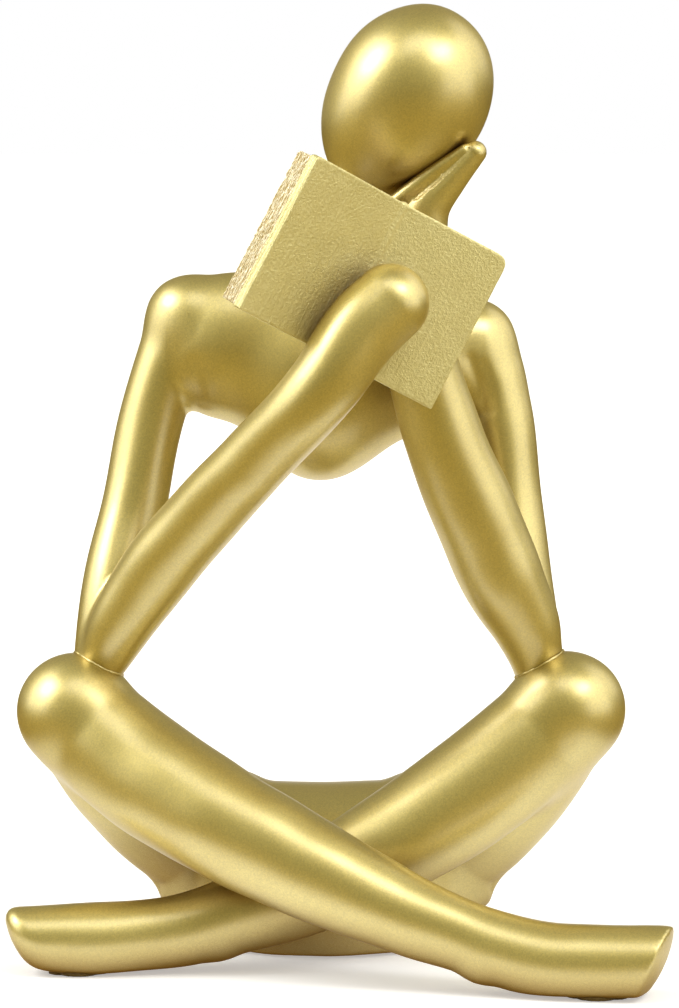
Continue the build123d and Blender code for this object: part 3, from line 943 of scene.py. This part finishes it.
@dataclass(frozen=True)
class Lower:
    """The crossed legs and the pelvis between them, as blended fields."""

    right_shin: Limb = Limb(
        (
            (*RIGHT_KNEE.centre, 6.95), (-27.47, -5.97, 27.91, 7.62), (-14.56, -13.06, 20.44, 7.29),
            (-4.13, -16.81, 15.47, 6.62), (8.48, -20.08, 9.98, 5.25), (17.78, -22.33, 6.75, 4.59),
            (26.34, -24.06, 4.60, 4.92), (41.35, -26.40, 4.60, 4.74),
        )
    )
    left_shin: Limb = Limb(
        (
            (*LEFT_KNEE.centre, 6.95), (22.22, -2.17, 26.08, 7.40), (8.43, -4.38, 16.64, 6.88),
            (-0.70, -5.70, 11.64, 6.25), (-11.19, -7.02, 7.72, 5.33), (-20.09, -8.19, 5.32, 4.70),
            (-31.59, -9.41, 4.31, 4.88), (-41.65, -10.40, 4.60, 4.14),
        )
    )
    right_thigh: Limb = Limb(
        (
            (*RIGHT_KNEE.centre, 6.75), (-29.40, 2.31, 25.98, 7.30), (-24.80, 8.00, 19.40, 7.40),
            (-20.00, 12.00, 14.60, 7.50), (-13.50, 14.50, 11.40, 7.80),
        )
    )
    left_thigh: Limb = Limb(
        (
            (*LEFT_KNEE.centre, 6.75), (26.15, 3.71, 25.98, 7.30), (21.80, 8.70, 19.40, 7.40),
            (17.40, 12.20, 14.60, 7.50), (11.10, 14.50, 11.40, 7.80),
        )
    )
    saddle: Saddle = Saddle.mirrored(
        (
            (-23.30, 14.30, 7.60, 2.60, 3.00), (-22.20, 14.30, 7.80, 3.60, 4.60),
            (-20.40, 14.40, 8.00, 5.80, 6.80), (-18.00, 14.50, 7.90, 8.80, 8.90),
            (-16.40, 14.60, 7.60, 11.60, 10.30), (-15.00, 14.70, 7.40, 13.90, 11.20),
            (-8.10, 14.70, 5.90, 15.20, 15.10), (-1.20, 14.70, 5.40, 15.50, 16.37),
        ),
        end_rounding=0.8,
    )
    right_toe: Ball = Ball((28.85, -22.70, 9.50), 14.1)
    left_toe: Ball = Ball((-32.70, -9.50, 8.30), 9.9)
    right_heel: Ball = Ball((18.90, -22.60, 5.00), 3.7)
    left_heel: Ball = Ball((-15.20, -7.60, 5.10), 3.7)
    hip_fillet: float = 2.4
    knee_fillet: float = 1.8
    heel_fillet: float = 1.2
    right_toe_rounding: float = 0.35
    left_toe_rounding: float = 1.9
    sole_rounding: float = 0.8
    crossing_reach: float = 7.5

    def seat(self) -> Field:
        """Returns both thighs and the pelvis between them."""
        return blend(self.hip_fillet, self.saddle, self.right_thigh, self.left_thigh)

    def foot(self, shin: Limb, heel: Ball, toe: Ball, rounding: float) -> Field:
        """Returns the shin and foot, with the bump under the heel and the end of the toes.

        Args:
            shin: the shin and foot.
            heel: the bump under the foot.
            toe: the ball whose skin ends the foot.
            rounding: the radius of the toe's rim.

        Returns:
            The foot's field.
        """
        whole = blend(self.heel_fillet, shin, heel)
        side = np.sign(toe.centre[0])

        def ended(points: np.ndarray) -> np.ndarray:
            """Returns each point's distance from the foot with its end cut."""
            past = (points[:, 0] - toe.centre[0]) * side > 0
            return soft_max(whole(points), np.where(past, toe(points), -toe.radius), rounding)

        return ended

    def leg(self, name: str, foot: Field, hip: Face, joint: Elbow, crossing: Face) -> Casting:
        """Returns one leg, cut flat where it meets its neighbours.

        Args:
            name: the leg's CAD node.
            foot: the shin and foot.
            hip: the face where the thigh meets the pelvis.
            joint: the place where the elbow stands on the knee.
            crossing: the flat where the shins lean on each other.

        Returns:
            The leg.
        """
        lean = trim(Ball(crossing.origin, self.crossing_reach), crossing.turned())
        cut = (carve(foot, lean), trim(self.seat(), hip.lapped()))
        bodies = []
        for shape, thigh in (cut, (foot, self.seat())):
            whole = blend(self.knee_fillet, shape, joint.knee, thigh)
            bodies.append(worked_by_hand(trim(whole, GROUND, rounding=self.sole_rounding)))
        return Casting(name, bodies[0], skin=bodies[1])

    def castings(self) -> list[Casting]:
        """Returns the two legs and the pelvis."""
        shapes = (
            self.foot(self.right_shin, self.right_heel, self.right_toe, self.right_toe_rounding),
            self.foot(self.left_shin, self.left_heel, self.left_toe, self.left_toe_rounding),
        )
        right = self.leg("right_leg", shapes[0], RIGHT_HIP, RIGHT_JOINT, CROSSING)
        left = self.leg("left_leg", shapes[1], LEFT_HIP, LEFT_JOINT, CROSSING.turned())
        middle = worked_by_hand(trim(self.seat(), GROUND, rounding=self.sole_rounding))
        hips = (RIGHT_HIP.turned().lapped(), LEFT_HIP.turned().lapped())
        return [right, left, Casting("pelvis", carve(trim(middle, *hips), left.shape), skin=middle)]


@dataclass(frozen=True)
class Upper:
    """The chest, the two arms and the head, as blended fields."""

    yoke: Saddle = Saddle(
        (
            (-21.6, 8.2, 81.0, 6.6, 4.4), (-19.2, 8.0, 80.4, 8.2, 5.4), (-10.2, 8.0, 79.7, 10.2, 7.4),
            (-1.2, 8.0, 79.0, 10.9, 8.2), (7.8, 8.0, 78.3, 10.2, 7.4), (16.8, 8.0, 77.6, 8.0, 5.4),
            (19.2, 8.2, 77.4, 6.6, 4.4),
        ),
        end_rounding=3.0,
    )
    rib_cage: Ellipsoid = Ellipsoid((-1.7, 8.0, 73.4), (0, 0, 1), 9.2, 11.2, 11.1)
    neck: Limb = Limb(
        (
            (-1.20, 8.00, 79.00, 6.75), (1.47, 4.79, 87.42, 4.86), (4.13, 1.58, 95.85, 4.32),
            (6.42, -1.17, 103.07, 4.50), (7.98, -3.05, 108.00, 4.60),
        )
    )
    head: Ellipsoid = Ellipsoid((9.6, -5.0, 113.04), (0.4908, -0.1908, 0.8501), 10.2, 12.2, 14.4)
    right_shoulder: Ball = Ball((-19.30, 9.00, 83.60), 5.1)
    left_shoulder: Ball = Ball((18.10, 9.00, 80.60), 5.1)
    shoulder_fillet: float = 2.0
    rib_fillet: float = 5.0
    neck_fillet: float = 4.0
    chin_fillet: float = 1.2
    finger_edge: Limb = Limb(
        (
            (7.30, -9.60, 99.20, 1.15), (9.40, -10.10, 101.00, 1.10), (13.00, -10.60, 103.80, 1.00),
            (16.40, -10.85, 106.20, 0.75),
        )
    )
    finger_fillet: float = 0.9
    hand_folds: tuple[Fold, ...] = (
        Fold(((10.3, -11.1, 100.3), (13.4, -11.4, 103.1), (16.9, -11.4, 106.2)), 0.26, 0.55),
        Fold(((11.6, -11.6, 99.6), (14.6, -11.9, 102.6), (17.3, -11.5, 105.6)), -0.12, 0.60),
    )
    armpit_folds: tuple[Fold, ...] = (
        Fold(((-18.0, 2.4, 77.6), (-17.8, 3.0, 75.4), (-17.3, 4.6, 72.6)), 0.26, 1.20),
        Fold(((17.8, 2.5, 78.6), (19.0, 3.1, 75.2), (19.6, 3.2, 71.8)), 0.22, 0.75),
        Fold(((19.5, 2.9, 78.0), (20.4, 3.2, 75.2), (20.6, 3.2, 72.0)), 0.12, 0.65),
    )
    hand_cells: Pair = (0.45, 0.4)  # the arms are drawn more finely, for their hands

    def trunk(self) -> Field:
        """Returns the chest and both upper arms as one flowing body."""
        arms = (self.right_shoulder, RIGHT_UPPER_ARM, self.left_shoulder, LEFT_UPPER_ARM)
        ribs = blend(self.rib_fillet, self.yoke, self.rib_cage)
        whole = blend(self.shoulder_fillet, blend(self.neck_fillet, ribs, self.neck), *arms)
        return folded(whole, *self.armpit_folds)

    def arm(self, shoulder: Face, joint: Elbow) -> tuple[Field, Field]:
        """Returns one arm, cut flat at the chest and on the knee.

        Args:
            shoulder: the face where it meets the chest.
            joint: the place where it stands on the knee.

        Returns:
            The arm's field, and the same before its flat faces were cut.
        """
        cut, whole = (
            worked_by_hand(blend(joint.fillet, upper, joint.arm[1]))
            for upper in (trim(self.trunk(), shoulder.lapped()), self.trunk())
        )
        return trim(cut, joint.arm_end()), whole

    def castings(self, cover: Field, right_pages: Field) -> list[Casting]:
        """Returns the chest, the arms and the head.

        Args:
            cover: the book's boards, which the right palm is glued to.
            right_pages: the pages that the left forearm leans on.

        Returns:
            The four castings.
        """
        face = worked_by_hand(blend(self.chin_fillet, self.head, self.neck))
        body = worked_by_hand(blend(self.chin_fillet, self.trunk(), self.head))
        sides = [side.turned().lapped() for side in (RIGHT_SHOULDER, LEFT_SHOULDER)]
        right, right_skin = self.arm(RIGHT_SHOULDER, RIGHT_JOINT)
        left, left_skin = self.arm(LEFT_SHOULDER, LEFT_JOINT)
        left = folded(blend(self.finger_fillet, left, self.finger_edge), *self.hand_folds)
        right_cell, left_cell = self.hand_cells
        return [
            Casting("head", trim(face, NECK.turned().lapped()), skin=face),
            Casting("chest", trim(body, *sides, NECK.lapped()), skin=body),
            Casting("right_arm", carve(right, cover), cell=right_cell, skin=right_skin),
            Casting("left_arm", carve(left, right_pages), cell=left_cell, skin=left_skin),
        ]


@dataclass(frozen=True)
class Book:
    """The open book: one bent cover and the two page blocks on its boards."""

    crease: Triple = (4.0, -18.5, 90.3)
    roll: float = 27.6
    pitch: float = 4.0
    left_turn: float = 214.0
    right_turn: float = 10.0
    height: float = 21.4
    width: float = 15.2
    board: float = 1.7
    pages: float = 3.4
    gutter: float = 0.7
    inset: float = 0.25
    edge: float = 0.22
    left_corner: float = 0.45
    right_corner: float = 1.5
    overlap: float = 0.3
    seam_fillet: float = 0.3
    ridge_radius: float = 0.62
    ridge_short: float = 0.4  # how far the ridge ends inside the cover
    ridge_sink: float = 0.44
    ridge_fillet: float = 0.25
    edge_groove: float = 0.36
    cover_cell: float = 0.22
    page_bends: Triple = (0.1, 0.12, 1.25)  # corner radii: at the gutter, outside, and rounded
    ring_points: int = 300
    leaf_pitch: float = 0.34
    leaf_depth: float = 0.16
    leaf_lines: int = 3  # how many rings of points draw one leaf
    swell: float = 0.05
    sharp_angle: float = 35.0

    def axes(self, turn: float) -> tuple[Triple, Triple, Triple]:
        """Returns the directions along a board, through it, and along the spine."""
        roll, pitch, turn = radians(self.roll), radians(self.pitch), radians(turn)
        across = np.array([cos(roll), 0, -sin(roll)])
        spine = np.array([sin(roll) * cos(pitch), sin(pitch), cos(roll) * cos(pitch)])
        reader = np.cross(spine, across)
        along = across * cos(turn) + reader * sin(turn)
        through = np.cross(spine, along)
        if through @ reader < 0:
            through = -through
        return tuple(map(tuple, (along, through, spine)))

    def slab(self, turn: float, along: Pair, through: Pair, half: float) -> Slab:
        """Returns a block that lies along one board.

        Args:
            turn: the board's direction in the book's own section, in degrees.
            along: where it starts and ends along the board.
            through: where it starts and ends through the board's thickness.
            half: half of its height along the spine.

        Returns:
            The block's field.
        """
        corner = self.right_corner if turn == self.right_turn else self.left_corner
        low, high = ((along[end], through[end], side * half) for end, side in ((0, -1), (1, 1)))
        return Slab(self.crease, self.axes(turn), low, high, self.edge, corner)

    def cover_field(self) -> Field:
        """Returns the two boards, bent in one piece, with a rough ridge in the crease."""
        half = self.height / 2
        left, right = (
            self.slab(turn, (-self.overlap, self.width), (0, self.board), half)
            for turn in (self.left_turn, self.right_turn)
        )
        out, through, spine = (np.array(axis) for axis in self.axes(self.left_turn))
        ends = [np.array(self.crease) + spine * side * (half - self.ridge_short) for side in (-1, 1)]
        ridge = Limb(tuple((*end, self.ridge_radius) for end in ends), 2)
        middle = (self.left_turn - 180 + self.right_turn) / 2 + 270
        ridge_off = np.array(self.axes(middle)[0]) * -self.ridge_sink

        edge = np.array(self.crease) + out * self.width + through * self.board * 0.5
        line = tuple(tuple(edge + spine * s) for s in (-half - 1, 0, half + 1))
        layered = folded(left, Fold(line, self.edge_groove, self.edge_groove))

        def bent(points: np.ndarray) -> np.ndarray:
            """Returns each point's distance from the cover's skin."""
            boards = soft_min(layered(points), right(points), self.seam_fillet)
            return soft_min(boards, ridge(points - ridge_off), self.ridge_fillet)

        return bent

    def page_field(self, turn: float) -> Field:
        """Returns one plain page block, for what leans on it."""
        along = (self.gutter, self.width - self.inset)
        through = (self.board, self.board + self.pages)
        return self.slab(turn, along, through, self.height / 2 - self.inset)

    def outline(self, rounded: bool) -> np.ndarray:
        """Returns the page block's outline, along the board and along the spine.

        Args:
            rounded: whether the top outer corner is rounded.

        Returns:
            Evenly placed points round the outline, turning to the left.
        """
        half = self.height / 2 - self.inset
        low, high = self.gutter, self.width - self.inset
        inner, outer, round_one = self.page_bends
        top = round_one if rounded else outer
        corners = [(low, -half, inner), (high, -half, outer), (high, half, top), (low, half, inner)]
        path = []
        for index, (u, w, bend) in enumerate(corners):
            start = pi + index * pi / 2
            middle = (u + (bend if u == low else -bend), w + (bend if w < 0 else -bend))
            for turn in np.linspace(start, start + pi / 2, 5):
                path.append((middle[0] + bend * cos(turn), middle[1] + bend * sin(turn)))
        path = np.array(path + path[:1])
        lengths = np.concatenate([[0], np.cumsum(np.linalg.norm(np.diff(path, axis=0), axis=1))])
        spots = np.linspace(0, lengths[-1], self.ring_points, endpoint=False)
        return np.stack([np.interp(spots, lengths, column) for column in path.T], -1)

    def page_block(self, turn: float, rounded: bool, seed: int) -> tuple[np.ndarray, list]:
        """Builds a page block whose sides show its leaves.

        Args:
            turn: the board's direction, in degrees.
            rounded: whether its top outer corner is rounded.
            seed: the seed of its unevenness.

        Returns:
            The places, in millimetres, and the faces.
        """
        random = np.random.default_rng(seed)
        ring = self.outline(rounded)
        count = len(ring)
        run = np.roll(ring, -1, 0) - np.roll(ring, 1, 0)
        away = units(np.stack([run[:, 1], -run[:, 0]], -1))
        layers = int(self.pages / self.leaf_pitch * self.leaf_lines)
        rows = []
        for layer, height in enumerate(np.linspace(0, self.pages, layers + 1)):
            line = layer % self.leaf_lines
            if line == 0:
                fine = random.normal(0, 1, count)
                sway = (fine + np.roll(fine, 1) + np.roll(fine, -1)) / 3
                sway = np.abs(sway) * self.leaf_depth * 0.8
                sway += random.uniform(0, self.leaf_depth * 0.5)
            drawn = sway + (self.leaf_depth * 0.9 if line == self.leaf_lines - 1 else 0)
            drawn = np.where(ring[:, 0] < self.gutter + 0.2, 0.0, drawn)
            rows.append(np.column_stack([ring - away * drawn[:, None], np.full(count, height)]))
        middle = ring.mean(axis=0)
        for share in (0.93, 0.8, 0.6, 0.35, 0.12):
            inner = middle + (ring - middle) * share
            lift = self.swell * np.sin(inner[:, 0] * 0.9) * np.sin(inner[:, 1] * 0.5)
            rows.append(np.column_stack([inner, self.pages - 0.06 + lift]))
        flat = np.vstack(rows) + (0, 0, self.board)
        along, through, spine = (np.array(axis) for axis in self.axes(turn))
        places = np.array(self.crease) + flat @ np.stack([along, spine, through])
        spot = np.arange(len(flat)).reshape(-1, count)
        after = np.roll(spot, -1, 1)
        sides = np.stack([spot[:-1], after[:-1], after[1:], spot[1:]], -1).reshape(-1, 4)
        faces = [spot[0, ::-1].tolist(), *sides.tolist(), spot[-1].tolist()]
        if np.cross(along, spine) @ through < 0:
            faces = [face[::-1] for face in faces]
        return places, faces

    def build(self, cover: bpy.types.Material, paper: bpy.types.Material) -> None:
        """Builds the boards in the cover's finish and both page blocks in the paper's."""
        Casting("book_cover", self.cover_field(), Slot.COVER, self.cover_cell).build(cover)
        for node, turn, rounded, seed in (
            ("left_pages", self.left_turn, False, 3),
            ("right_pages", self.right_turn, True, 8),
        ):
            places, faces = self.page_block(turn, rounded, seed)
            block = piece_from(f"{node}_block", places, faces, paper)
            stand_for(block, node)
            block.data.set_sharp_from_angle(angle=radians(self.sharp_angle))


@dataclass(frozen=True)
class Fittings:
    """The steel pins in the glued joints and the felt pads under the figure."""

    pins: tuple[str, ...] = (
        "neck_pin", "right_shoulder_pin", "left_shoulder_pin", "right_elbow_pin",
        "left_elbow_pin", "right_hip_pin", "left_hip_pin", "shin_pin", "book_pin",
    )
    pads: tuple[str, ...] = ("seat_pad", "right_foot_pad", "left_foot_pad")
    pad_cell: float = 0.25
    pad_edge: float = 0.2
    rim_play: float = 0.05
    flat_play: float = 0.02
    fuzz: float = 0.03
    fuzz_waves: tuple[Triple, Triple] = ((7.0, 3.0, 5.0), (-4.0, 8.0, 6.0))

    def pad_field(self, node: str) -> Field:
        """Returns one felt pad: its CAD outline with a worn edge and a soft nap.

        Args:
            node: the pad's CAD node.

        Returns:
            The pad's field.
        """
        low, high = (np.array(corner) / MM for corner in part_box(node))
        rim = np.array([v.co[:2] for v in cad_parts[node].data.vertices]) / MM
        middle = rim.mean(axis=0)
        off = rim - middle
        angles = np.arctan2(off[:, 1], off[:, 0])
        order = np.argsort(angles)
        reach = np.linalg.norm(off, axis=1)[order]
        angles = angles[order]

        def worn(points: np.ndarray) -> np.ndarray:
            """Returns each point's distance from the pad's skin."""
            away = points[:, :2] - middle
            turn = np.arctan2(away[:, 1], away[:, 0])
            edge = np.interp(turn, angles, reach, period=2 * pi) - self.rim_play
            nap = self.fuzz * np.sin(points @ np.array(self.fuzz_waves).T).sum(axis=1)
            flat = np.maximum(low[2] - points[:, 2], points[:, 2] - high[2]) + self.flat_play
            return soft_max(np.linalg.norm(away, axis=1) - edge + nap, flat, self.pad_edge)

        return worn

    def build(self, steel: bpy.types.Material, felt: bpy.types.Material) -> None:
        """Dresses the pins in steel and puts felt pads in the place of the plain ones."""
        for node in self.pins:
            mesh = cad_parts[node].data
            mesh.materials.clear()
            mesh.materials.append(steel)
            log.info("%s: steel", node)
        for node in self.pads:
            pad = Casting(node, self.pad_field(node), Slot.PADS, self.pad_cell).build(felt)


# ---------------------------------------------------------------- the studio


@dataclass(frozen=True)
class Softbox:
    """A soft light: where it stands from the figure, in metres, its size and its strength."""

    name: str
    direction: Triple
    distance: float
    size: Pair
    watts: float

    def build(self, target: Vector) -> None:
        """Puts the softbox up and turns it to the target."""
        lamp = bpy.data.lights.new(self.name, "AREA")
        lamp.shape = "RECTANGLE"
        lamp.size, lamp.size_y = self.size
        lamp.energy = self.watts
        stand = bpy.data.objects.new(self.name, lamp)
        bpy.context.scene.collection.objects.link(stand)
        way = Vector(self.direction).normalized()
        stand.location = target + way * self.distance
        stand.rotation_euler = way.to_track_quat("Z", "Y").to_euler()
        stand.visible_camera = False


@dataclass(frozen=True)
class Studio:
    """The camera, the white sweep and the soft lights."""

    target: Triple = (0.6, 0.0, 60.0)
    distance: float = 650.0
    elevation: float = 6.0
    pixels_of_focus: float = 5000.0
    frame_height: float = 1008.0
    sensor: float = 36.0
    clip: Pair = (0.01, 20.0)
    lights: tuple[Softbox, ...] = (
        Softbox("left_panel", (-0.86, -0.10, 0.50), 0.75, (0.78, 0.72), 2.8),
        Softbox("left_lamp", (-0.76, -0.17, 0.63), 0.70, (0.28, 0.28), 1.6),
        Softbox("right_panel", (0.86, -0.36, 0.36), 0.75, (0.75, 0.85), 2.6),
        Softbox("right_wall", (0.76, 0.36, 0.54), 0.80, (0.50, 0.70), 1.0),
        Softbox("right_lamp", (0.48, -0.53, 0.69), 0.70, (0.30, 0.22), 1.3),
        Softbox("top_panel", (0.02, -0.50, 0.86), 0.80, (0.60, 0.34), 1.2),
    )
    front_room: str = "#9A9362"
    back_room: str = "#ACA684"
    room_turn: Pair = (-0.5, 0.3)  # how far the direction goes back, from front to back room
    backdrop: Pair = (0.975, 0.992)  # the same, from the back room to the white backdrop
    table: str = "#A39154"
    floor_reach: float = 3.0  # this and the lengths below are in metres
    sweep: str = "#ECEDF2"
    near_glow: float = 0.40
    glow_reach: Pair = (0.08, 0.6)
    paper_front: float = -0.036
    paper_side: float = 0.055
    paper_spread: float = 0.075
    paper_fade: float = 0.03

    def camera(self) -> None:
        """Sets the camera at the photograph's place."""
        data = bpy.data.cameras.new("camera")
        data.sensor_width = self.sensor
        data.lens = self.pixels_of_focus * self.sensor / self.frame_height
        data.clip_start, data.clip_end = self.clip
        camera = bpy.data.objects.new("camera", data)
        bpy.context.scene.collection.objects.link(camera)
        lift = radians(self.elevation)
        back = Vector((0, -cos(lift), sin(lift)))
        camera.location = (Vector(self.target) + back * self.distance) * MM
        camera.rotation_euler = (pi / 2 - lift, 0, 0)
        bpy.context.scene.camera = camera

    def floor(self) -> None:
        """Lays the pale floor, which shows white to the camera and keeps the shadow."""
        mesh = bpy.data.meshes.new("floor")
        corners = ((-1, -1, 0), (1, -1, 0), (1, 1, 0), (-1, 1, 0))
        mesh.from_pydata([Vector(c) * self.floor_reach for c in corners], [], [(0, 1, 2, 3)])
        floor = bpy.data.objects.new("floor", mesh)
        bpy.context.scene.collection.objects.link(floor)
        nodes = Nodes(bpy.data.materials.new("white_paper_sweep"))
        place = nodes.place()
        x, y = (nodes.part(place, axis) for axis in "XY")
        wide = nodes.maths("MULTIPLY_ADD", y, -self.paper_spread, nodes.maths("ABSOLUTE", x))
        front = nodes.ranged(y, (self.paper_front - self.paper_fade, self.paper_front))
        side = nodes.ranged(wide, (self.paper_side + self.paper_fade, self.paper_side))
        on_paper = nodes.maths("MULTIPLY", front, side)
        away = nodes.add("VectorMath", "Value", {0: place}, operation="LENGTH")
        glow = nodes.ranged(away, self.glow_reach, (self.near_glow, 1.0))
        glow = nodes.maths("MULTIPLY", glow, on_paper)
        glow = nodes.maths("MULTIPLY", glow, self.seen_directly(nodes))
        material = nodes.surface(
            {
                "Base Color": nodes.mixed(on_paper, linear(self.table), linear(self.sweep)),
                "Roughness": 1.0,
                "Specular IOR Level": 0.0,
                "Emission Color": WHITE,
                "Emission Strength": glow,
            }
        )
        mesh.materials.append(material)

    def seen_directly(self, nodes: Nodes) -> Socket:
        """Returns 1 for rays that show the background itself, in the metal too, else 0."""
        total = nodes.add("LightPath", "Is Camera Ray", {})
        for name in ("Is Glossy Ray", "Is Transmission Ray"):
            total = nodes.maths("ADD", total, nodes.add("LightPath", name, {}), use_clamp=True)
        return total

    def world(self) -> None:
        """Makes the room: a white backdrop where the camera looks, dimmer walls around."""
        world = bpy.data.worlds.new("white_room")
        nodes = Nodes(world)
        y = nodes.part(nodes.add("TexCoord", "Generated", {}), "Y")
        behind, backdrop = (
            nodes.ranged(y, reach, interpolation_type="SMOOTHSTEP")
            for reach in (self.room_turn, self.backdrop)
        )
        room = nodes.mixed(behind, linear(self.front_room), linear(self.back_room))
        white = nodes.mixed(backdrop, room, WHITE)
        nodes.show(nodes.add("Background", 0, {"Color": white}), "World")
        bpy.context.scene.world = world

    def build(self) -> None:
        """Sets up the whole studio."""
        self.camera()
        self.floor()
        self.world()
        for light in self.lights:
            light.build(Vector(self.target) * MM)
        bpy.context.scene.view_settings.view_transform = "Standard"


def main() -> None:
    """Builds the figure, piece by piece, and the studio around it."""
    logging.basicConfig(level=logging.INFO, format="%(name)s: %(message)s")
    gold = SprayedGold().build()
    book = Book()
    lower = Lower().castings()
    for casting in lower:
        casting.build(gold)
    RIGHT_JOINT.bead("right_elbow_bead", lower[0], gold)
    LEFT_JOINT.bead("left_elbow_bead", lower[1], gold)
    for casting in Upper().castings(book.cover_field(), book.page_field(book.right_turn)):
        casting.build(gold)
    cover = BrushedCover((radians(-book.pitch), radians(book.roll), 0.0))
    book.build(cover.build(), DryPages().build())
    Fittings().build(DrawnSteel().build(), PressedFelt().build())
    Studio().build()


if __name__ == "__main__":
    main()
